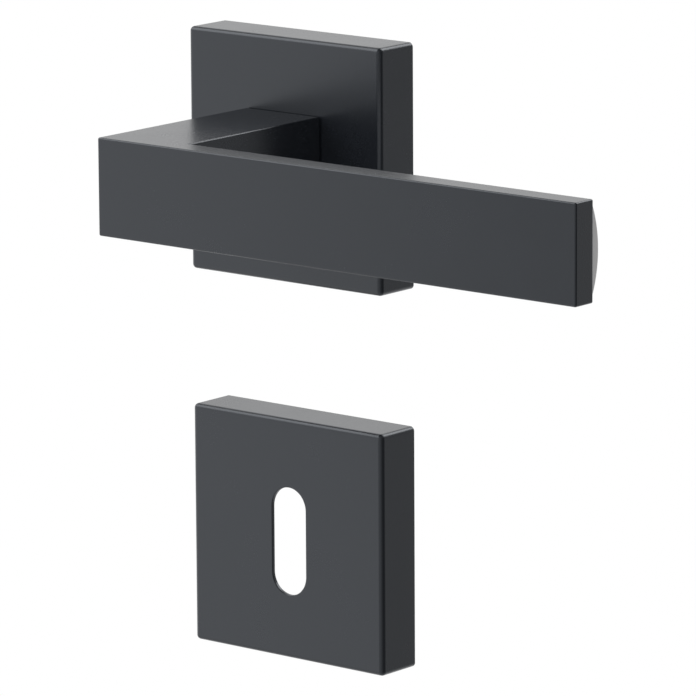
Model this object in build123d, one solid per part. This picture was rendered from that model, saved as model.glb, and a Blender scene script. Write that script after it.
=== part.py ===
from build123d import *
import math
import os

# A square-rose door lever with its keyhole escutcheon, for one side of a door.
# Millimetres. The origin is on the spindle axis in the plane of the door face.
# +X runs along the grip to its tip, +Y goes into the door and +Z is up.

# Covers: two equal square caps, one round the lever's neck and one round the keyhole.
PLATE = 52.0                # side of the square
PLATE_DEPTH = 10.8          # how far a cover stands off the door
PLATE_EDGE = 1.0            # radius of the outer edges
COVER_WALL = 0.8
ESCUTCHEON_DROP = 81.35     # from the spindle axis down to the escutcheon's centre

# Lever: a flat grip bar on a square neck.
NECK_WIDTH = 20.0
LEVER_HEIGHT = 20.4
LEVER_PROJECTION = 57.9     # from the door face to the front of the grip
BAR_THICKNESS = 5.6
BAR_TIP_X = 112.4
LEVER_EDGE = 0.4
NECK_GAP = 0.4              # between the neck's shoulder and the rose

# Light insert on the back of the grip.
INSERT_START_X = 14.0
INSERT_SETBACK = 0.6        # of the insert's end from the tip of the bar
INSERT_CROWN = 2.25
PEG_RADIUS = 2.0
PEG_LENGTH = 3.0
PEG_PLACES = (32.0, 94.0)   # along X

# Keyhole: an upright slot with round ends.
KEYHOLE_RADIUS = 4.6
KEYHOLE_HALF_HEIGHT = 11.7
KEYHOLE_SHIFT_X = 0.5
KEYHOLE_SHIFT_Z = -0.5
KEYHOLE_LIP = 0.2           # radius of its outer rim
KEY_SPACE = (29.0, 33.0)    # width and height of the opening in the base behind it
SCREW_BOSS_RADIUS = 4.9     # round each wood screw, standing into that opening

# Spindle and the fits on it.
SPINDLE = 8.0               # side of the square bar
SPINDLE_REACH = 25.0        # past the door face
SPINDLE_INSERTION = 41.0    # how deep it sits in the lever, measured from the door face
SQUARE_PLAY = 0.06          # each side, in the lever and in the driver
LEVER_GRUB_Y = -22.0
LEVER_GRUB_RADIUS = 2.5

# Journal of the lever, and the pieces it turns in.
JOURNAL_RADIUS = 8.0
JOURNAL_END_Y = -5.0
RUNNING_PLAY = 0.05
RING_GROOVE_Y = (-6.6, -5.7)
RING_GROOVE_RADIUS = 7.25
RING_OUTER_RADIUS = 9.2

# Base of the rose: its centre bore, the spring pocket and the recess of the driver.
BASE_SIDE = 49.6
BASE_CORNER = 1.5
BASE_FRONT_Y = -9.9
REAR_PLATE = 1.2
SPINDLE_HOLE_RADIUS = 8.0
BORE_RADIUS = 9.5
FLANGE_SEAT_RADIUS = 11.1
FLANGE_SEAT_Y = -8.2
BUSH_END_Y = -7.2
WASHER_Y = (-7.15, -6.65)
POCKET_SIDE = 7.6           # corner hollows of the escutcheon's base
POCKET_PLACE = 19.4
POCKET_FLOOR = 1.6
SPRING_POCKET = (11.2, 15.4)
SPRING_POCKET_Y = -7.2
RECESS_Y = -3.2
RECESS_RADIUS = 15.7

# Driver: a flanged hub on the spindle, with an ear that stops against the recess.
DRIVER_FRONT_Y = -4.7
FLANGE_Y = (-3.0, -1.5)
FLANGE_RADIUS = 15.2
EAR_RADIUS = 17.8
EAR_REST_ANGLE = 67.0       # from +X towards +Z
EAR_HALF_ANGLE = 6.0
LEVER_TRAVEL = 45.0         # degrees, the grip's tip going down
STOP_GAP_ANGLE = 1.2

# Torsion spring.
WIRE = 1.3
SPRING_RADIUS = 13.3
SPRING_TURNS = 1.75
SPRING_PITCH = 1.4
SPRING_FRONT_Y = -7.05 + WIRE / 2
TANG_PLAY = 0.25

# Fasteners.
SCREW_PITCH = 19.0          # of every fixing hole from the centre of its plate
WOOD_SCREW_RADIUS = 1.75
WOOD_SCREW_HEAD = 3.3
WOOD_SCREW_TIP_Y = 15.4
WOOD_SCREW_HOLE = 1.95
THROUGH_BOLT_HOLE = 2.15
THROUGH_BOLT_HEAD = 4.0
COVER_GRUB_RADIUS = 1.5
COVER_GRUB_LENGTH = 4.0
PLATE_SCREW_PLACE = 20.0    # from the centre, along X and along Z
PLATE_SCREW_RADIUS = 1.25

HALF_PLATE = PLATE / 2
HALF_BASE = BASE_SIDE / 2
HALF_HEIGHT = LEVER_HEIGHT / 2
SHOULDER_Y = -PLATE_DEPTH - NECK_GAP
BAR_FRONT_Y = -LEVER_PROJECTION
BAR_BACK_Y = BAR_FRONT_Y + BAR_THICKNESS
CUT = 1.0                   # how far a cutting solid runs past the surface it opens


def block(x_span, y_span, z_span):
    """Box between the two ends given along each axis."""
    spans = (x_span, y_span, z_span)
    centre = [(low + high) / 2 for low, high in spans]
    size = [high - low for low, high in spans]
    return Pos(*centre) * Box(*size)


def rod(radius, y_span, x=0.0, z=0.0):
    """Cylinder along Y."""
    low, high = y_span
    return Pos(x, (low + high) / 2, z) * Rot(-90, 0, 0) * Cylinder(radius, high - low)


def taper(radii, y_span, x=0.0, z=0.0):
    """Cone along Y, with the first radius at the first Y."""
    low, high = y_span
    cone = Cone(radii[0], radii[1], high - low)
    return Pos(x, (low + high) / 2, z) * Rot(-90, 0, 0) * cone


def ring(inner, outer, y_span):
    """Flat ring round the spindle axis."""
    low, high = y_span
    return rod(outer, y_span) - rod(inner, (low - CUT, high + CUT))


def wedge(angle_span, radius, y_span):
    """Sector of a disc, its angles taken from +X towards +Z."""
    low, high = [math.radians(angle) for angle in angle_span]
    reach = 2 * radius
    corners = [(0, 0), (reach * math.cos(low), reach * math.sin(low))]
    corners.append((reach * math.cos(high), reach * math.sin(high)))
    plane = Plane((0, y_span[0], 0), x_dir=(1, 0, 0), z_dir=(0, -1, 0))
    sector = extrude(plane * make_face(Polyline(*corners, close=True)), -(y_span[1] - y_span[0]))
    return sector & rod(radius, y_span)


def hexagon(across_flats, z_span, x, y):
    """Upright hexagonal prism, the key socket of a grub screw."""
    corner_radius = across_flats / math.sqrt(3)
    outline = Pos(x, y, z_span[0]) * RegularPolygon(corner_radius, 6)
    return extrude(outline, z_span[1] - z_span[0])


def grub_screw(radius, z_span, y, key):
    """Grub screw along Z with its key socket in the lower end."""
    low, high = z_span
    body = Pos(0, y, (low + high) / 2) * Cylinder(radius, high - low)
    body = chamfer(body.edges().filter_by(GeomType.CIRCLE), 0.25)
    return body - hexagon(key, (low - CUT, low + 0.55 * (high - low)), 0, y)


def cross_recess(width, span, y_span, x, z, turn=0.0):
    """Cutter for the cross recess of a screw head."""
    arm = block((-span / 2, span / 2), y_span, (-width / 2, width / 2))
    return Pos(x, 0, z) * Rot(0, turn, 0) * (arm + Rot(0, 90, 0) * arm)


def wood_screw(z, turn):
    """Countersunk screw from the front of a base into the door."""
    head_y = BASE_FRONT_Y + 0.3
    neck_y = head_y + 2.2
    point_y = WOOD_SCREW_TIP_Y - 3.5
    head = rod(WOOD_SCREW_HEAD, (head_y, head_y + 0.4), z=z)
    head += taper((WOOD_SCREW_HEAD, WOOD_SCREW_RADIUS), (head_y + 0.4, neck_y), z=z)
    shank = rod(WOOD_SCREW_RADIUS, (neck_y, point_y), z=z)
    shank += taper((WOOD_SCREW_RADIUS, 0.2), (point_y, WOOD_SCREW_TIP_Y), z=z)
    recess = cross_recess(0.8, 3.4, (head_y - CUT, head_y + 1.5), 0, z, turn)
    return head + shank - recess


def wood_screw_holes(centre_z):
    """Cutters for the two countersunk holes, above and below a plate's centre."""
    cutters = []
    for z in (centre_z - SCREW_PITCH, centre_z + SCREW_PITCH):
        mouth = WOOD_SCREW_HEAD + 0.25
        cone_end = BASE_FRONT_Y + 0.9 + mouth - WOOD_SCREW_HOLE
        cutters.append(rod(WOOD_SCREW_HOLE, (BASE_FRONT_Y - CUT, CUT), z=z))
        cutters.append(rod(mouth, (BASE_FRONT_Y - CUT, BASE_FRONT_Y + 0.9), z=z))
        cutters.append(taper((mouth, WOOD_SCREW_HOLE), (BASE_FRONT_Y + 0.9, cone_end), z=z))
    return cutters


def through_bolt_holes(centre_z):
    """Cutters for the two free holes, left and right of a plate's centre."""
    cutters = []
    for x in (-SCREW_PITCH, SCREW_PITCH):
        cutters.append(rod(THROUGH_BOLT_HOLE, (BASE_FRONT_Y - CUT, CUT), x, centre_z))
        cutters.append(rod(THROUGH_BOLT_HEAD, (BASE_FRONT_Y - CUT, BASE_FRONT_Y + 3), x, centre_z))
    return cutters


def cover_grub_place(centre_z):
    """Lower and upper end of a cover's grub screw, just inside the lower wall."""
    low = centre_z - HALF_PLATE + 0.15
    return (low, low + COVER_GRUB_LENGTH)


def cover_grub_hole(radius, centre_z):
    """Cutter for a cover's grub screw, up from below."""
    low = centre_z - HALF_PLATE - CUT
    high = cover_grub_place(centre_z)[1] + 0.25
    return Pos(0, -PLATE_DEPTH / 2, (low + high) / 2) * Cylinder(radius, high - low)


def square_cap(centre_z):
    """Thin square cap, open towards the door, with its grub hole underneath."""
    z_span = (centre_z - HALF_PLATE, centre_z + HALF_PLATE)
    outer = block((-HALF_PLATE, HALF_PLATE), (-PLATE_DEPTH, 0), z_span)
    edges = outer.edges().filter_by(Axis.Y) + outer.faces().sort_by(Axis.Y)[0].edges()
    outer = fillet(edges, PLATE_EDGE)
    side = HALF_PLATE - COVER_WALL
    inner = block((-side, side), (-PLATE_DEPTH + COVER_WALL, CUT), (centre_z - side, centre_z + side))
    edges = inner.edges().filter_by(Axis.Y) + inner.faces().sort_by(Axis.Y)[0].edges()
    inner = fillet(edges, PLATE_EDGE - COVER_WALL)
    return outer - inner - cover_grub_hole(COVER_GRUB_RADIUS + 0.1, centre_z)


def base_block(centre_z, y_span):
    """Square slab with rounded corners that fills a cap."""
    slab = block((-HALF_BASE, HALF_BASE), y_span, (centre_z - HALF_BASE, centre_z + HALF_BASE))
    return fillet(slab.edges().filter_by(Axis.Y), BASE_CORNER)


def rose_cover():
    hole = rod(BORE_RADIUS + 0.15, (-PLATE_DEPTH - CUT, -PLATE_DEPTH + 2 * CUT))
    return square_cap(0) - hole


def rose_base():
    body = base_block(0, (BASE_FRONT_Y, -REAR_PLATE))
    body -= rod(BORE_RADIUS, (BASE_FRONT_Y - CUT, 0))
    body -= rod(FLANGE_SEAT_RADIUS, (BASE_FRONT_Y - CUT, FLANGE_SEAT_Y))
    body -= ring(SPRING_POCKET[0], SPRING_POCKET[1], (SPRING_POCKET_Y, 0))
    body -= rod(RECESS_RADIUS, (RECESS_Y, 0))
    stop = EAR_HALF_ANGLE + STOP_GAP_ANGLE
    travel = (EAR_REST_ANGLE - LEVER_TRAVEL - stop, EAR_REST_ANGLE + stop)
    body -= wedge(travel, EAR_RADIUS + 0.4, (RECESS_Y, 0))
    body -= [*wood_screw_holes(0), *through_bolt_holes(0), *spring_tang_holes()]
    body -= cover_grub_hole(COVER_GRUB_RADIUS + 0.03, 0)
    for x, z in plate_screw_places():
        body -= rod(PLATE_SCREW_RADIUS + 0.05, (-6.0, 0), x, z)
    return body


def spring_tang_holes():
    """Cutter for the hole that holds the spring's front tang."""
    x, z = on_circle(SPRING_RADIUS, tang_angles()[0])
    return [rod(WIRE / 2 + TANG_PLAY, (SPRING_POCKET_Y - 1.6, SPRING_POCKET_Y + CUT), x, z)]


def on_circle(radius, angle):
    """X and Z at an angle taken from +X towards +Z."""
    turn = math.radians(angle)
    return radius * math.cos(turn), radius * math.sin(turn)


def tang_angles():
    """Angles of the spring's front and rear ends."""
    front = 0.0
    return front, front - 360 * SPRING_TURNS


def plate_screw_places():
    """X and Z of the four screws that hold the rear plate."""
    places = (-PLATE_SCREW_PLACE, PLATE_SCREW_PLACE)
    return [(x, z) for x in places for z in places]


def neck_bush():
    flange = ring(JOURNAL_RADIUS + RUNNING_PLAY, FLANGE_SEAT_RADIUS - 0.1, (BASE_FRONT_Y + 0.1, FLANGE_SEAT_Y))
    sleeve = ring(JOURNAL_RADIUS + RUNNING_PLAY, BORE_RADIUS - 0.05, (FLANGE_SEAT_Y, BUSH_END_Y))
    return flange + sleeve


def thrust_washer():
    return ring(JOURNAL_RADIUS + 0.1, BORE_RADIUS - 0.1, (SHOULDER_Y + 0.2, BASE_FRONT_Y + 0.1))


def ring_washer():
    """Steel washer that spreads the retaining ring's push over the end of the bush."""
    return ring(JOURNAL_RADIUS + 0.1, BORE_RADIUS - 0.15, WASHER_Y)


def return_spring():
    """Torsion spring: a short coil with a tang along the axis at each end."""
    height = SPRING_TURNS * SPRING_PITCH
    front, rear = tang_angles()
    coil_path = Helix(SPRING_PITCH, height, SPRING_RADIUS)
    section = Plane(coil_path @ 0, z_dir=coil_path % 0) * Circle(WIRE / 2)
    coil = Pos(0, SPRING_FRONT_Y, 0) * Rot(-90, 0, 0) * sweep(section, path=coil_path)
    rear_y = SPRING_FRONT_Y + height
    x0, z0 = on_circle(SPRING_RADIUS, front)
    x1, z1 = on_circle(SPRING_RADIUS, rear)
    tangs = rod(WIRE / 2, (SPRING_POCKET_Y - 1.4, SPRING_FRONT_Y), x0, z0)
    tangs += rod(WIRE / 2, (rear_y, FLANGE_Y[1] - 0.2), x1, z1)
    elbows = Pos(x0, SPRING_FRONT_Y, z0) * Sphere(WIRE / 2)
    elbows += Pos(x1, rear_y, z1) * Sphere(WIRE / 2)
    return coil + tangs + elbows


def spring_driver():
    hub = rod(BORE_RADIUS - 0.06, (DRIVER_FRONT_Y, FLANGE_Y[0]))
    ear_span = (EAR_REST_ANGLE - EAR_HALF_ANGLE, EAR_REST_ANGLE + EAR_HALF_ANGLE)
    body = hub + rod(FLANGE_RADIUS, FLANGE_Y) + wedge(ear_span, EAR_RADIUS, FLANGE_Y)
    half = SPINDLE / 2 + SQUARE_PLAY
    body -= block((-half, half), (DRIVER_FRONT_Y - CUT, 0), (-half, half))
    x, z = on_circle(SPRING_RADIUS, tang_angles()[1])
    return body - rod(WIRE / 2 + TANG_PLAY, (FLANGE_Y[0] - CUT, 0), x, z)


def rear_plate():
    body = base_block(0, (-REAR_PLATE, 0))
    body -= rod(SPINDLE_HOLE_RADIUS, (-REAR_PLATE - CUT, CUT))
    for z in (-SCREW_PITCH, SCREW_PITCH):
        body -= rod(WOOD_SCREW_HOLE, (-REAR_PLATE - CUT, CUT), z=z)
    for x in (-SCREW_PITCH, SCREW_PITCH):
        body -= rod(THROUGH_BOLT_HOLE, (-REAR_PLATE - CUT, CUT), x=x)
    for x, z in plate_screw_places():
        body -= taper((PLATE_SCREW_RADIUS + 0.05, 2 * PLATE_SCREW_RADIUS + 0.05), (-REAR_PLATE, 0), x, z)
    return body


def rear_plate_screws():
    """Four small countersunk screws, put in from the door side."""
    screws = []
    for index, (x, z) in enumerate(plate_screw_places()):
        head = taper((PLATE_SCREW_RADIUS, 2 * PLATE_SCREW_RADIUS - 0.1), (-REAR_PLATE, -0.1), x, z)
        shank = rod(PLATE_SCREW_RADIUS, (-5.5, -REAR_PLATE), x, z)
        recess = cross_recess(0.5, 2.4, (-0.8, CUT), x, z, 17.0 + 31.0 * index)
        screws.append(head + shank - recess)
    return Compound(children=screws)


def lever():
    """Grip bar and neck in one casting, with the journal behind the neck."""
    half = NECK_WIDTH / 2
    outline = Polyline(
        (-half, SHOULDER_Y),
        (-half, BAR_FRONT_Y),
        (BAR_TIP_X, BAR_FRONT_Y),
        (BAR_TIP_X, BAR_BACK_Y),
        (half, BAR_BACK_Y),
        (half, SHOULDER_Y),
        close=True,
    )
    body = extrude(make_face(outline), HALF_HEIGHT, both=True)
    body = fillet(lever_outer_edges(body), LEVER_EDGE)
    body += rod(JOURNAL_RADIUS, (SHOULDER_Y, JOURNAL_END_Y))
    body -= ring(RING_GROOVE_RADIUS, JOURNAL_RADIUS + CUT, RING_GROOVE_Y)
    square = SPINDLE / 2 + SQUARE_PLAY
    body -= block((-square, square), (-SPINDLE_INSERTION - 0.5, 0), (-square, square))
    grub_hole = Cylinder(LEVER_GRUB_RADIUS + 0.03, HALF_HEIGHT + CUT)
    body -= Pos(0, LEVER_GRUB_Y, -(HALF_HEIGHT + CUT) / 2) * grub_hole
    for x in PEG_PLACES:
        body -= rod(PEG_RADIUS + 0.05, (BAR_BACK_Y - PEG_LENGTH - 0.2, BAR_BACK_Y + CUT), x)
    return body


def lever_outer_edges(body):
    """Every edge but those of the shoulder and of the corner between neck and bar."""
    chosen = []
    for edge in body.edges():
        middle = edge.center()
        on_shoulder = abs(middle.Y - SHOULDER_Y) < 0.01
        in_corner = abs(middle.X - NECK_WIDTH / 2) < 0.01 and abs(middle.Y - BAR_BACK_Y) < 0.01
        if not on_shoulder and not in_corner:
            chosen.append(edge)
    return chosen


def grip_insert():
    """Bowed strip on the back of the grip, held by two pegs."""
    half = HALF_HEIGHT - LEVER_EDGE
    radius = (half ** 2 + INSERT_CROWN ** 2) / (2 * INSERT_CROWN)
    x_span = (INSERT_START_X, BAR_TIP_X - INSERT_SETBACK)
    crown_y = BAR_BACK_Y + INSERT_CROWN
    middle = sum(x_span) / 2
    bow = Pos(middle, crown_y - radius, 0) * Rot(0, 90, 0) * Cylinder(radius, x_span[1] - x_span[0])
    strip = bow & block(x_span, (BAR_BACK_Y, crown_y), (-half, half))
    for x in PEG_PLACES:
        strip += rod(PEG_RADIUS, (BAR_BACK_Y - PEG_LENGTH, BAR_BACK_Y), x)
    return strip


def spindle():
    """Square bar with a bevelled end for the lock."""
    half = SPINDLE / 2
    bar = block((-half, half), (-SPINDLE_INSERTION, SPINDLE_REACH), (-half, half))
    return chamfer(bar.faces().sort_by(Axis.Y)[-1].edges(), 0.8)


def lever_grub_screw():
    return grub_screw(LEVER_GRUB_RADIUS, (-HALF_HEIGHT + 0.5, -SPINDLE / 2 - 0.02), LEVER_GRUB_Y, 2.5)


def retaining_ring():
    """Split ring in the groove of the journal, behind the bush."""
    low, high = RING_GROOVE_Y
    y_span = (low + 0.05, high - 0.05)
    full = ring(RING_GROOVE_RADIUS + 0.05, RING_OUTER_RADIUS, y_span)
    return full - wedge((250, 290), 2 * RING_OUTER_RADIUS, (low - CUT, high + CUT))


def rose_screws():
    return Compound(children=[wood_screw(SCREW_PITCH, 20), wood_screw(-SCREW_PITCH, 65)])


def rose_cover_screw():
    return grub_screw(COVER_GRUB_RADIUS, cover_grub_place(0), -PLATE_DEPTH / 2, 1.5)


def keyhole(centre_z):
    """Cutter in the outline of the keyhole."""
    straight = KEYHOLE_HALF_HEIGHT - KEYHOLE_RADIUS
    x = KEYHOLE_SHIFT_X
    z = centre_z + KEYHOLE_SHIFT_Z
    y_span = (-PLATE_DEPTH - CUT, -PLATE_DEPTH + 2 * CUT)
    slot = block((x - KEYHOLE_RADIUS, x + KEYHOLE_RADIUS), y_span, (z - straight, z + straight))
    slot += rod(KEYHOLE_RADIUS, y_span, x, z - straight)
    slot += rod(KEYHOLE_RADIUS, y_span, x, z + straight)
    return slot


def escutcheon_cover():
    """Cap with the keyhole, its outer rim slightly rounded."""
    cap = square_cap(-ESCUTCHEON_DROP) - keyhole(-ESCUTCHEON_DROP)
    front = cap.faces().sort_by(Axis.Y)[0]
    return fillet(front.inner_wires()[0].edges(), KEYHOLE_LIP)


def escutcheon_base():
    """Open cast frame with screw bosses and hollowed corners, wide enough for the key."""
    centre_z = -ESCUTCHEON_DROP
    body = base_block(centre_z, (BASE_FRONT_Y, 0))
    width, height = KEY_SPACE
    x_span = (-width / 2, width / 2)
    z_span = (centre_z - height / 2, centre_z + height / 2)
    y_span = (BASE_FRONT_Y - CUT, CUT)
    opening = fillet(block(x_span, y_span, z_span).edges().filter_by(Axis.Y), 3.0)
    for z in (centre_z - SCREW_PITCH, centre_z + SCREW_PITCH):
        opening -= rod(SCREW_BOSS_RADIUS, y_span, 0, z)
    body -= opening
    body -= [*wood_screw_holes(centre_z), *through_bolt_holes(centre_z)]
    for x in (-POCKET_PLACE, POCKET_PLACE):
        for z in (centre_z - POCKET_PLACE, centre_z + POCKET_PLACE):
            body -= corner_pocket(x, z)
    return body - cover_grub_hole(COVER_GRUB_RADIUS + 0.03, centre_z)


def corner_pocket(x, z):
    """Cutter that lightens a corner of the casting from the door side."""
    half = POCKET_SIDE / 2
    pocket = block((x - half, x + half), (BASE_FRONT_Y + POCKET_FLOOR, CUT), (z - half, z + half))
    return fillet(pocket.edges().filter_by(Axis.Y), 1.5)


def escutcheon_screws():
    upper = wood_screw(SCREW_PITCH - ESCUTCHEON_DROP, 40)
    return Compound(children=[upper, wood_screw(-SCREW_PITCH - ESCUTCHEON_DROP, 5)])


def escutcheon_cover_screw():
    place = cover_grub_place(-ESCUTCHEON_DROP)
    return grub_screw(COVER_GRUB_RADIUS, place, -PLATE_DEPTH / 2, 1.5)


PARTS = (
    lever,
    grip_insert,
    spindle,
    lever_grub_screw,
    retaining_ring,
    spring_driver,
    return_spring,
    neck_bush,
    thrust_washer,
    ring_washer,
    rose_base,
    rear_plate,
    rear_plate_screws,
    rose_screws,
    rose_cover,
    rose_cover_screw,
    escutcheon_base,
    escutcheon_screws,
    escutcheon_cover,
    escutcheon_cover_screw,
)

os.makedirs("parts", exist_ok=True)
for part in PARTS:
    export_step(part(), "parts/" + part.__name__ + ".step")
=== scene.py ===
import math

import bmesh
import bpy
import numpy as np
from mathutils import Matrix, Vector


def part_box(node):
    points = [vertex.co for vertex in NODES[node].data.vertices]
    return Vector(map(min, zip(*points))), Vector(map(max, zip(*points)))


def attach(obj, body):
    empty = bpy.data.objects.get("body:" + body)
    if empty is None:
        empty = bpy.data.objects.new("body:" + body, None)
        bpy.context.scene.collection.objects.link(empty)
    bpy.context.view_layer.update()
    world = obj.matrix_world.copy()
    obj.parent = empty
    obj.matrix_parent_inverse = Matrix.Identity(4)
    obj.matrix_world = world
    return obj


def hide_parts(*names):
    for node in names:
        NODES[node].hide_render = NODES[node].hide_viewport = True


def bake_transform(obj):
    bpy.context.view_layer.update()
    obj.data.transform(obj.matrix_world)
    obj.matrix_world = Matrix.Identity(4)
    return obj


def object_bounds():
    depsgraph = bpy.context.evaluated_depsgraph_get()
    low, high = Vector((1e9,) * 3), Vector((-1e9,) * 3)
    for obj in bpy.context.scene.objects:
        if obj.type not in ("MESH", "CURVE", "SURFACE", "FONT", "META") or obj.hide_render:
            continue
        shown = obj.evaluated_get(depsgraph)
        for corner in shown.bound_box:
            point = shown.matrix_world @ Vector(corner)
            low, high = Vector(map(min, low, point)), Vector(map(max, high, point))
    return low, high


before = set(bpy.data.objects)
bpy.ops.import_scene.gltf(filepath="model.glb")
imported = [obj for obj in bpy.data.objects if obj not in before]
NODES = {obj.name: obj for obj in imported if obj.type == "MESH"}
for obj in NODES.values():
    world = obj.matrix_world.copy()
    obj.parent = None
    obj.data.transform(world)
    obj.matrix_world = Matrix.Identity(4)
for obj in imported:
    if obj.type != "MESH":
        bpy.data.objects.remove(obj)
cad_low, cad_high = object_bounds()

MM = 0.001

# The door lever and its keyhole escutcheon: materials for every node, threaded wood screws, a return spring
# of one bent wire, and the stage with its lights and camera.

# Camera: its angles and distance, and where it aims, to the right of the spindle's root and below it.
AZIMUTH = math.radians(39.480)
ELEVATION = math.radians(11.706)
ROLL = math.radians(-0.335)
DISTANCE = 1.24520
AIM_RIGHT = 0.00653
AIM_UP = -0.04094
LENS_MM = 306.15
SENSOR_MM = 36.0

# Brightness of the studio surround, and the direction in which it is dark.
DARK_SIDE = (0.996, 0.087, 0.0)
SURROUND_BRIGHT = 0.90
SURROUND_DIM = 0.08
SURROUND_TOP = 0.3          # of the brightness at the horizon
SURROUND_FRONT = 0.69       # of the brightness at the sides
SURROUND_BACK = 1.12
DARK_SPAN = (0.1, 1.0)      # facing the dark side: where the bright ends and where the dim begins
TOP_SPAN = (0.5, 0.95)      # height over the horizon: the same for the top
DEPTH_SPAN = (-0.8, 0.8)    # along Y: from the front's brightness to the back's

# Softboxes: name, place, side and watts. They all look at LIGHT_AIM.
LIGHT_AIM = (0, 0, -0.03)
SOFTBOXES = (
    ("left", (-0.66, -0.36, -0.1), 0.8, 0.9),
    ("front_above", (-0.60, -0.38, 0.62), 0.65, 2.7),
    ("behind_above", (0.3, 1.1, 0.95), 0.8, 5.5),
)

FLOOR_HALF_SIZE = 1.3
FLOOR_DROP = 0.30           # below the lowest point of the set

# Wood screw: its head, its thread and the cross recess.
HEAD_RIM = 0.4 * MM         # height of the rim above the cone
HEAD_BEVEL = 0.06 * MM      # height of the bevel on the rim
HEAD_TOP = 0.985            # radius of the top inside that bevel, of the rim's
HEAD_HEIGHT = 2.2 * MM
THREAD_PITCH = 1.6 * MM
THREAD_ROOT = 1.2 * MM
THREAD_CREST = 1.75 * MM
THREAD_SIDES = 40
RINGS_PER_TURN = 12
RIDGE_WIDTH = 0.34          # of the pitch
POINT_LENGTH = 3.5 * MM
POINT_ROOT = 0.12           # radius of the core at the very point, of the core's elsewhere
POINT_RIDGE = 0.15          # height of the ridge there
RIDGE_GROWTH = 1.4          # how fast it grows away from the point
RECESS_DEPTH = 1.6 * MM
RECESS_TOP = (3.6 * MM, 0.8 * MM)       # length and width of an arm
RECESS_BOTTOM = (1.8 * MM, 0.5 * MM)
RECESS_RISE = 0.5 * MM      # how far the cutter stands out of the head

# Return spring, as in the CAD.
WIRE = 1.3 * MM
SPRING_TURNS = 1.75
SPRING_PITCH = 1.4 * MM
SPRING_FRONT_Y = -7.05 * MM + WIRE / 2
SPRING_STEPS = 96

# Turns sharper than these, in degrees, stay crisp in a smooth piece.
SCREW_CREASE = 35
SPRING_CREASE = 50

# CAD pairs of wood screws: node, the pieces that replace it, and how far each recess is turned, in radians.
SCREW_PAIRS = (
    ("rose_screws", ("rose_screw_upper", "rose_screw_lower"), (0.35, 1.1)),
    ("escutcheon_screws", ("escutcheon_screw_upper", "escutcheon_screw_lower"), (0.7, 0.1)),
)


# ---------------------------------------------------------------- materials

def new_material(name):
    material = bpy.data.materials.new(name)
    material.use_nodes = True
    return material


def add(material, kind, **values):
    """New shader node with the named inputs set."""
    node = material.node_tree.nodes.new(kind)
    for key, value in values.items():
        node.inputs[key.replace("_", " ")].default_value = value
    return node


def link(material, source, target):
    material.node_tree.links.new(source, target)


def place(material, stretch=(1, 1, 1)):
    """Object coordinates, which are metres in the part's own frame, scaled by stretch."""
    coordinates = add(material, "ShaderNodeTexCoord")
    mapping = add(material, "ShaderNodeMapping", Scale=stretch)
    link(material, coordinates.outputs["Object"], mapping.inputs["Vector"])
    return mapping.outputs["Vector"]


def noise(material, where, grain, detail=3.0, roughness=0.55):
    """Noise whose features are about grain metres across."""
    node = add(material, "ShaderNodeTexNoise", Scale=1.0 / grain, Detail=detail, Roughness=roughness)
    link(material, where, node.inputs["Vector"])
    return node.outputs["Fac"]


def spread(material, source, low, high, start=0.3, end=0.7):
    """Source mapped from start..end to low..high."""
    node = add(material, "ShaderNodeMapRange", From_Min=start, From_Max=end, To_Min=low, To_Max=high)
    link(material, source, node.inputs["Value"])
    return node.outputs["Result"]


def combine(material, operation, first, second):
    """Result of a maths node on two sources."""
    node = add(material, "ShaderNodeMath")
    node.operation = operation
    link(material, first, node.inputs[0])
    link(material, second, node.inputs[1])
    return node.outputs[0]


def multiply(material, first, second):
    return combine(material, "MULTIPLY", first, second)


def mean(material, first, second):
    """Half of the sum of two sources."""
    return spread(material, combine(material, "ADD", first, second), 0, 1, 0, 2)


def by_ray(material, seen, otherwise):
    """Shader seen where the camera looks straight at it, and otherwise for every other ray."""
    path = add(material, "ShaderNodeLightPath")
    choose = add(material, "ShaderNodeMixShader")
    link(material, path.outputs["Is Camera Ray"], choose.inputs[0])
    link(material, otherwise, choose.inputs[1])
    link(material, seen, choose.inputs[2])
    return choose.outputs[0]


def tint(material, source, dark, light):
    """Colour between two greys or tones, chosen by source."""
    node = add(material, "ShaderNodeMix")
    node.data_type = "RGBA"
    node.inputs[6].default_value = (*dark, 1)
    node.inputs[7].default_value = (*light, 1)
    link(material, source, node.inputs[0])
    return node.outputs[2]


def bump(material, height, depth, below=None):
    """Bump of the given depth in metres, on top of another one."""
    node = add(material, "ShaderNodeBump", Strength=1.0, Distance=depth)
    link(material, height, node.inputs["Height"])
    if below is not None:
        link(material, below, node.inputs["Normal"])
    return node.outputs["Normal"]


def surface(name, dark, light, roughness, metallic=0.0, grain=0.4 * MM, depth=0.004 * MM,
            stretch=(1, 1, 1), broad=9 * MM, broad_depth=0.0, shine=0.5, shine_tint=(1, 1, 1)):
    """Material with a broad drift and a fine grain in colour, gloss and relief."""
    material = new_material(name)
    shader = material.node_tree.nodes["Principled BSDF"]
    shader.inputs["Metallic"].default_value = metallic
    shader.inputs["Specular IOR Level"].default_value = shine
    shader.inputs["Specular Tint"].default_value = (*shine_tint, 1)
    where = place(material, stretch)
    fine = noise(material, where, grain)
    drift = noise(material, place(material), broad, detail=2.0)
    mixed = mean(material, fine, drift)
    link(material, tint(material, spread(material, mixed, 0, 1), dark, light), shader.inputs["Base Color"])
    link(material, spread(material, mixed, *roughness), shader.inputs["Roughness"])
    normal = bump(material, drift, broad_depth) if broad_depth else None
    link(material, bump(material, fine, depth, normal), shader.inputs["Normal"])
    return material


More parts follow.
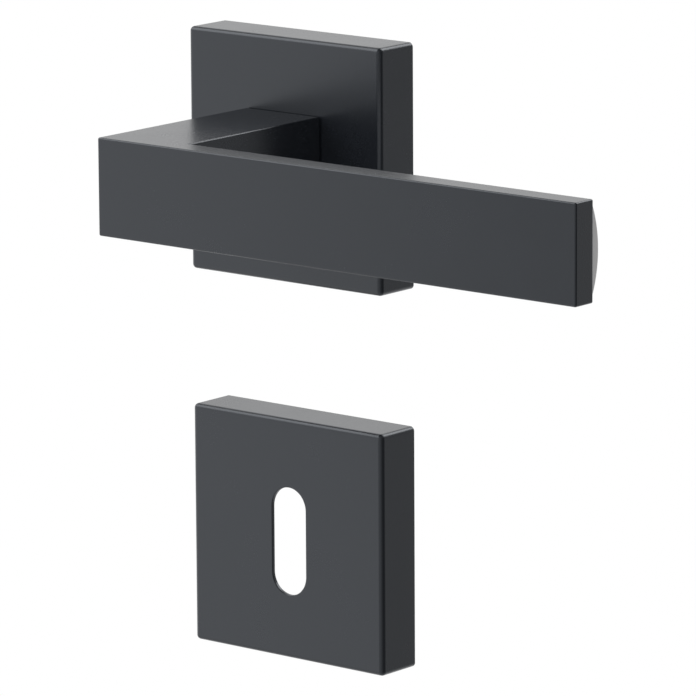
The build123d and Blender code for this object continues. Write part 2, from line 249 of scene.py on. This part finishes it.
def coat_material():
    """Anthracite powder coat, satin, with a very fine orange peel."""
    return surface(
        "anthracite_powder_coat",
        dark=(0.012, 0.0145, 0.019),
        light=(0.016, 0.0185, 0.024),
        roughness=(0.24, 0.28),
        grain=0.30 * MM,
        depth=0.0005 * MM,
        broad=14 * MM,
        shine=0.75,
        shine_tint=(0.88, 0.93, 1.0),
    )


def insert_material():
    """Light grey satin strip, brushed along the grip."""
    return surface(
        "light_grey_satin",
        dark=(0.83, 0.83, 0.83),
        light=(0.89, 0.89, 0.89),
        roughness=(0.42, 0.52),
        grain=0.16 * MM,
        depth=0.0015 * MM,
        stretch=(0.06, 1, 1),
    )


def drawn_steel():
    """Zinc-plated drawn bar, with die lines along its length."""
    return surface(
        "drawn_plated_steel",
        dark=(0.50, 0.50, 0.49),
        light=(0.68, 0.68, 0.70),
        roughness=(0.26, 0.42),
        metallic=1.0,
        grain=0.22 * MM,
        depth=0.004 * MM,
        stretch=(1, 0.03, 1),
        broad=5 * MM,
    )


def plated_sheet():
    """Zinc-plated pressed sheet with a cool, slightly cloudy finish."""
    return surface(
        "plated_sheet",
        dark=(0.55, 0.57, 0.60),
        light=(0.72, 0.73, 0.72),
        roughness=(0.28, 0.46),
        metallic=1.0,
        grain=0.5 * MM,
        depth=0.003 * MM,
        broad=6 * MM,
    )


def plated_screw():
    """Bright zinc-plated screw."""
    return surface(
        "plated_screw",
        dark=(0.60, 0.60, 0.58),
        light=(0.78, 0.78, 0.80),
        roughness=(0.2, 0.34),
        metallic=1.0,
        grain=0.25 * MM,
        depth=0.003 * MM,
        broad=2.5 * MM,
    )


def spring_steel():
    """Dark drawn wire and ring, lightly oiled."""
    return surface(
        "spring_steel",
        dark=(0.20, 0.20, 0.21),
        light=(0.34, 0.34, 0.36),
        roughness=(0.25, 0.4),
        metallic=1.0,
        grain=0.2 * MM,
        depth=0.003 * MM,
        broad=3 * MM,
    )


def turned_steel():
    """Sintered and turned steel of the driver."""
    return surface(
        "turned_steel",
        dark=(0.38, 0.38, 0.38),
        light=(0.55, 0.55, 0.56),
        roughness=(0.35, 0.5),
        metallic=1.0,
        grain=0.18 * MM,
        depth=0.006 * MM,
        broad=4 * MM,
    )


def cast_zinc():
    """Die-cast zinc as it leaves the mould: dull, cloudy and slightly wavy."""
    return surface(
        "cast_zinc",
        dark=(0.34, 0.35, 0.37),
        light=(0.52, 0.53, 0.54),
        roughness=(0.45, 0.62),
        metallic=1.0,
        grain=0.35 * MM,
        depth=0.012 * MM,
        broad=5 * MM,
        broad_depth=0.03 * MM,
    )


def white_acetal():
    return surface(
        "white_acetal",
        dark=(0.74, 0.74, 0.70),
        light=(0.82, 0.82, 0.79),
        roughness=(0.38, 0.48),
        grain=0.3 * MM,
        depth=0.003 * MM,
        broad=6 * MM,
    )


def black_acetal():
    return surface(
        "black_acetal",
        dark=(0.018, 0.018, 0.018),
        light=(0.03, 0.03, 0.03),
        roughness=(0.4, 0.52),
        grain=0.3 * MM,
        depth=0.003 * MM,
        broad=6 * MM,
    )


def black_screw():
    """Black oxide steel of the grub screws."""
    return surface(
        "black_oxide",
        dark=(0.02, 0.02, 0.021),
        light=(0.045, 0.045, 0.047),
        roughness=(0.32, 0.48),
        metallic=0.6,
        grain=0.15 * MM,
        depth=0.004 * MM,
        broad=1.5 * MM,
    )


FINISHES = {
    coat_material: ("lever", "rose_cover", "escutcheon_cover"),
    insert_material: ("grip_insert",),
    drawn_steel: ("spindle",),
    plated_sheet: ("rear_plate", "ring_washer"),
    plated_screw: ("rear_plate_screws", "rose_screws", "escutcheon_screws"),
    spring_steel: ("retaining_ring", "return_spring"),
    turned_steel: ("spring_driver",),
    cast_zinc: ("rose_base", "escutcheon_base"),
    white_acetal: ("neck_bush",),
    black_acetal: ("thrust_washer",),
    black_screw: ("lever_grub_screw", "rose_cover_screw", "escutcheon_cover_screw"),
}


def finish_nodes():
    """Give every CAD node its material; return the materials by node name."""
    by_node = {}
    for make, names in FINISHES.items():
        material = make()
        for name in names:
            by_node[name] = material
            node = NODES[name]
            node.data.materials.clear()
            node.data.materials.append(material)
    return by_node


# ---------------------------------------------------------------- detailed pieces

def new_object(name, data):
    """New object in the scene."""
    thing = bpy.data.objects.new(name, data)
    bpy.context.scene.collection.objects.link(thing)
    return thing


def mesh_object(name, vertices, faces, material):
    mesh = bpy.data.meshes.new(name)
    mesh.from_pydata(vertices, [], faces)
    mesh.update()
    mesh.materials.append(material)
    return new_object(name, mesh)


def evaluated_mesh(thing):
    """Mesh of an object with its modifiers or its bevel worked out."""
    graph = bpy.context.evaluated_depsgraph_get()
    return bpy.data.meshes.new_from_object(thing.evaluated_get(graph))


def screw_rings(head_y, tip_y, head_radius):
    """(y, root radius, crest radius) from the top of the head to the point."""
    neck_y = head_y + HEAD_HEIGHT
    profile = (
        (head_y, head_radius * HEAD_TOP),
        (head_y + HEAD_BEVEL, head_radius),
        (head_y + HEAD_RIM, head_radius),
        (neck_y, THREAD_ROOT),
    )
    rings = [(y, radius, radius) for y, radius in profile]
    count = round((tip_y - neck_y) / THREAD_PITCH * RINGS_PER_TURN)
    for y in np.linspace(neck_y, tip_y, count + 1)[1:]:
        start = min(1.0, (y - neck_y) / THREAD_PITCH)
        taper = min(1.0, (tip_y - y) / POINT_LENGTH)
        root = THREAD_ROOT * (POINT_ROOT + (1 - POINT_ROOT) * taper)
        height = (THREAD_CREST - THREAD_ROOT) * start * min(1.0, POINT_RIDGE + RIDGE_GROWTH * taper)
        rings.append((y, root, root + height))
    return rings


def tube_faces(rings):
    """Faces of a tube of that many rings of THREAD_SIDES vertices, closed at both ends."""
    faces = []
    for ring in range(rings - 1):
        for side in range(THREAD_SIDES):
            a = ring * THREAD_SIDES + side
            b = ring * THREAD_SIDES + (side + 1) % THREAD_SIDES
            faces.append((a, b, b + THREAD_SIDES, a + THREAD_SIDES))
    last = (rings - 1) * THREAD_SIDES
    faces.append(tuple(reversed(range(THREAD_SIDES))))
    faces.append(tuple(range(last, last + THREAD_SIDES)))
    return faces


def threaded_screw(name, centre, y_span, head_radius, turn, material):
    """Countersunk wood screw with a real helical thread and a cross recess."""
    head_y, tip_y = y_span
    angles = np.arange(THREAD_SIDES) * 2 * math.pi / THREAD_SIDES
    rings = screw_rings(head_y, tip_y, head_radius)
    vertices = []
    for y, root, crest in rings:
        phase = (y / THREAD_PITCH - angles / (2 * math.pi)) % 1.0
        ridge = np.clip(1 - np.abs(phase - 0.5) / (RIDGE_WIDTH / 2), 0, 1)
        radius = root + (crest - root) * ridge
        x = centre.x + radius * np.cos(angles)
        z = centre.z + radius * np.sin(angles)
        vertices += [(px, y, pz) for px, pz in zip(x, z)]
    screw = mesh_object(name, vertices, tube_faces(len(rings)), material)
    cut_cross(screw, centre, head_y, turn)
    smooth_by_angle(screw, SCREW_CREASE)
    return screw


def cut_cross(screw, centre, head_y, turn):
    """Cut a tapered cross recess into the head."""
    cutter_mesh = bpy.data.meshes.new("cross_cutter")
    shape = bmesh.new()
    for quarter in (0, math.pi / 2):
        arm = bmesh.ops.create_cube(shape, size=1.0)["verts"]
        for vertex in arm:
            deep = vertex.co.y > 0
            length, width = RECESS_BOTTOM if deep else RECESS_TOP
            y = RECESS_DEPTH if deep else -RECESS_RISE
            vertex.co = Vector((vertex.co.x * length, y, vertex.co.z * width))
        bmesh.ops.rotate(shape, verts=arm, matrix=Matrix.Rotation(quarter + turn, 3, "Y"))
    bmesh.ops.translate(shape, verts=shape.verts, vec=(centre.x, head_y, centre.z))
    shape.to_mesh(cutter_mesh)
    shape.free()
    cutter = new_object("cross_cutter", cutter_mesh)
    cut = screw.modifiers.new("cross", "BOOLEAN")
    cut.operation = "DIFFERENCE"
    cut.solver = "EXACT"
    cut.use_self = True
    cut.object = cutter
    mesh = evaluated_mesh(screw)
    screw.modifiers.clear()
    screw.data = mesh
    bpy.data.objects.remove(cutter)


def smooth_by_angle(piece, degrees):
    """Smooth shading, with edges sharper than the angle kept crisp."""
    piece.data.shade_smooth()
    piece.data.set_sharp_from_angle(angle=math.radians(degrees))


def wood_screws(node, names, turns, material):
    """The two threaded screws that stand for a CAD pair, at the top and bottom of its box."""
    low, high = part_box(node)
    head_radius = (high.x - low.x) / 2
    for name, z, turn in zip(names, (high.z - head_radius, low.z + head_radius), turns):
        centre = Vector(((low.x + high.x) / 2, 0, z))
        screw = threaded_screw(name, centre, (low.y, high.y), head_radius, turn, material)
        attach(screw, "mounted_set")
        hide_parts(node)


def spring_points(radius, front_y, rear_y, last_y):
    """Centre line of the wire: the front tang, the coil and the rear tang."""
    points = [Vector((radius, front_y, 0)), Vector((radius, SPRING_FRONT_Y - WIRE / 3, 0))]
    for step in range(SPRING_STEPS + 1):
        part = step / SPRING_STEPS
        angle = -2 * math.pi * SPRING_TURNS * part
        y = SPRING_FRONT_Y + (last_y - SPRING_FRONT_Y) * part
        points.append(Vector((radius * math.cos(angle), y, radius * math.sin(angle))))
    end = points[-1]
    points += [Vector((end.x, last_y + WIRE / 3, end.z)), Vector((end.x, rear_y, end.z))]
    return points


def bent_wire(points):
    """Mesh of a round wire along the points."""
    curve = bpy.data.curves.new("return_spring_wire", "CURVE")
    curve.dimensions = "3D"
    curve.bevel_depth = WIRE / 2
    curve.bevel_resolution = 5
    curve.use_fill_caps = True
    spline = curve.splines.new("POLY")
    spline.points.add(len(points) - 1)
    for target, point in zip(spline.points, points):
        target.co = (*point, 1)
    source = new_object("spring_curve", curve)
    mesh = evaluated_mesh(source)
    bpy.data.objects.remove(source)
    return mesh


def coil_spring(material):
    """Torsion spring as one bent wire, between the base and the driver."""
    low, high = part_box("return_spring")
    radius = (high.x - low.x - WIRE) / 2
    last_y = SPRING_FRONT_Y + SPRING_TURNS * SPRING_PITCH
    mesh = bent_wire(spring_points(radius, low.y, high.y, last_y))
    mesh.materials.append(material)
    spring = new_object("return_spring_wire", mesh)
    smooth_by_angle(spring, SPRING_CREASE)
    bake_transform(spring)
    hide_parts("return_spring")


# ---------------------------------------------------------------- stage, light and camera

def backdrop_material():
    """Pale matt floor that shows as plain white to the camera."""
    material = new_material("pale_floor")
    shader = material.node_tree.nodes["Principled BSDF"]
    shader.inputs["Base Color"].default_value = (0.8, 0.8, 0.8, 1)
    shader.inputs["Roughness"].default_value = 0.9
    white = add(material, "ShaderNodeEmission", Color=(1, 1, 1, 1), Strength=1.0)
    both = by_ray(material, white.outputs[0], shader.outputs[0])
    link(material, both, material.node_tree.nodes["Material Output"].inputs["Surface"])
    return material


def floor():
    """Wide pale floor, well below the hanging set."""
    size = FLOOR_HALF_SIZE
    z = cad_low.z - FLOOR_DROP
    corners = [(-size, -size, z), (size, -size, z), (size, size, z), (-size, size, z)]
    card = mesh_object("floor", corners, [(0, 1, 2, 3)], backdrop_material())
    card.visible_glossy = False
    card.visible_diffuse = False


def world_light():
    """Studio surround: white to the camera, dark on the right and dimmer in front and overhead."""
    world = bpy.data.worlds.new("studio")
    bpy.context.scene.world = world
    world.use_nodes = True
    world.node_tree.nodes.clear()
    coordinates = add(world, "ShaderNodeTexCoord")
    split = add(world, "ShaderNodeSeparateXYZ")
    link(world, coordinates.outputs["Generated"], split.inputs[0])
    towards = add(world, "ShaderNodeVectorMath")
    towards.operation = "DOT_PRODUCT"
    towards.inputs[1].default_value = DARK_SIDE
    link(world, coordinates.outputs["Generated"], towards.inputs[0])
    sideways = spread(world, towards.outputs["Value"], SURROUND_BRIGHT, SURROUND_DIM, *DARK_SPAN)
    upward = spread(world, split.outputs["Z"], 1.0, SURROUND_TOP, *TOP_SPAN)
    backward = spread(world, split.outputs["Y"], SURROUND_FRONT, SURROUND_BACK, *DEPTH_SPAN)
    strength = multiply(world, multiply(world, sideways, upward), backward)
    surround = add(world, "ShaderNodeBackground", Color=(1, 1, 1, 1))
    link(world, strength, surround.inputs["Strength"])
    white = add(world, "ShaderNodeBackground", Color=(1, 1, 1, 1))
    both = by_ray(world, white.outputs[0], surround.outputs[0])
    output = add(world, "ShaderNodeOutputWorld")
    link(world, both, output.inputs["Surface"])


def softbox(name, position, size, power):
    """Square area light that looks at the set."""
    data = bpy.data.lights.new(name, "AREA")
    data.shape = "SQUARE"
    data.size = size
    data.energy = power
    light = new_object(name, data)
    light.location = position
    light.rotation_euler = (Vector(LIGHT_AIM) - Vector(position)).to_track_quat("-Z", "Y").to_euler()


def lights():
    world_light()
    for name, position, size, power in SOFTBOXES:
        softbox(name, position, size, power)


def camera():
    """The view's camera: turned about the vertical, raised, and rolled a little."""
    back = Vector((
        math.sin(AZIMUTH) * math.cos(ELEVATION),
        -math.cos(AZIMUTH) * math.cos(ELEVATION),
        math.sin(ELEVATION),
    ))
    level = Vector((math.cos(AZIMUTH), math.sin(AZIMUTH), 0))
    upright = back.cross(level)
    right = level * math.cos(ROLL) + upright * math.sin(ROLL)
    up = upright * math.cos(ROLL) - level * math.sin(ROLL)
    data = bpy.data.cameras.new("camera")
    data.lens = LENS_MM
    data.sensor_width = SENSOR_MM
    data.clip_start = 0.05
    data.clip_end = 50.0
    view = new_object("camera", data)
    place_at = right * AIM_RIGHT + up * AIM_UP + back * DISTANCE
    view.matrix_world = Matrix((
        (right.x, up.x, back.x, place_at.x),
        (right.y, up.y, back.y, place_at.y),
        (right.z, up.z, back.z, place_at.z),
        (0, 0, 0, 1),
    ))
    bpy.context.scene.camera = view


camera()
lights()
floor()
bpy.context.scene.view_settings.view_transform = "Standard"
materials = finish_nodes()
for pair, pieces, turns in SCREW_PAIRS:
    wood_screws(pair, pieces, turns, materials[pair])
coil_spring(materials["return_spring"])

bpy.context.view_layer.update()
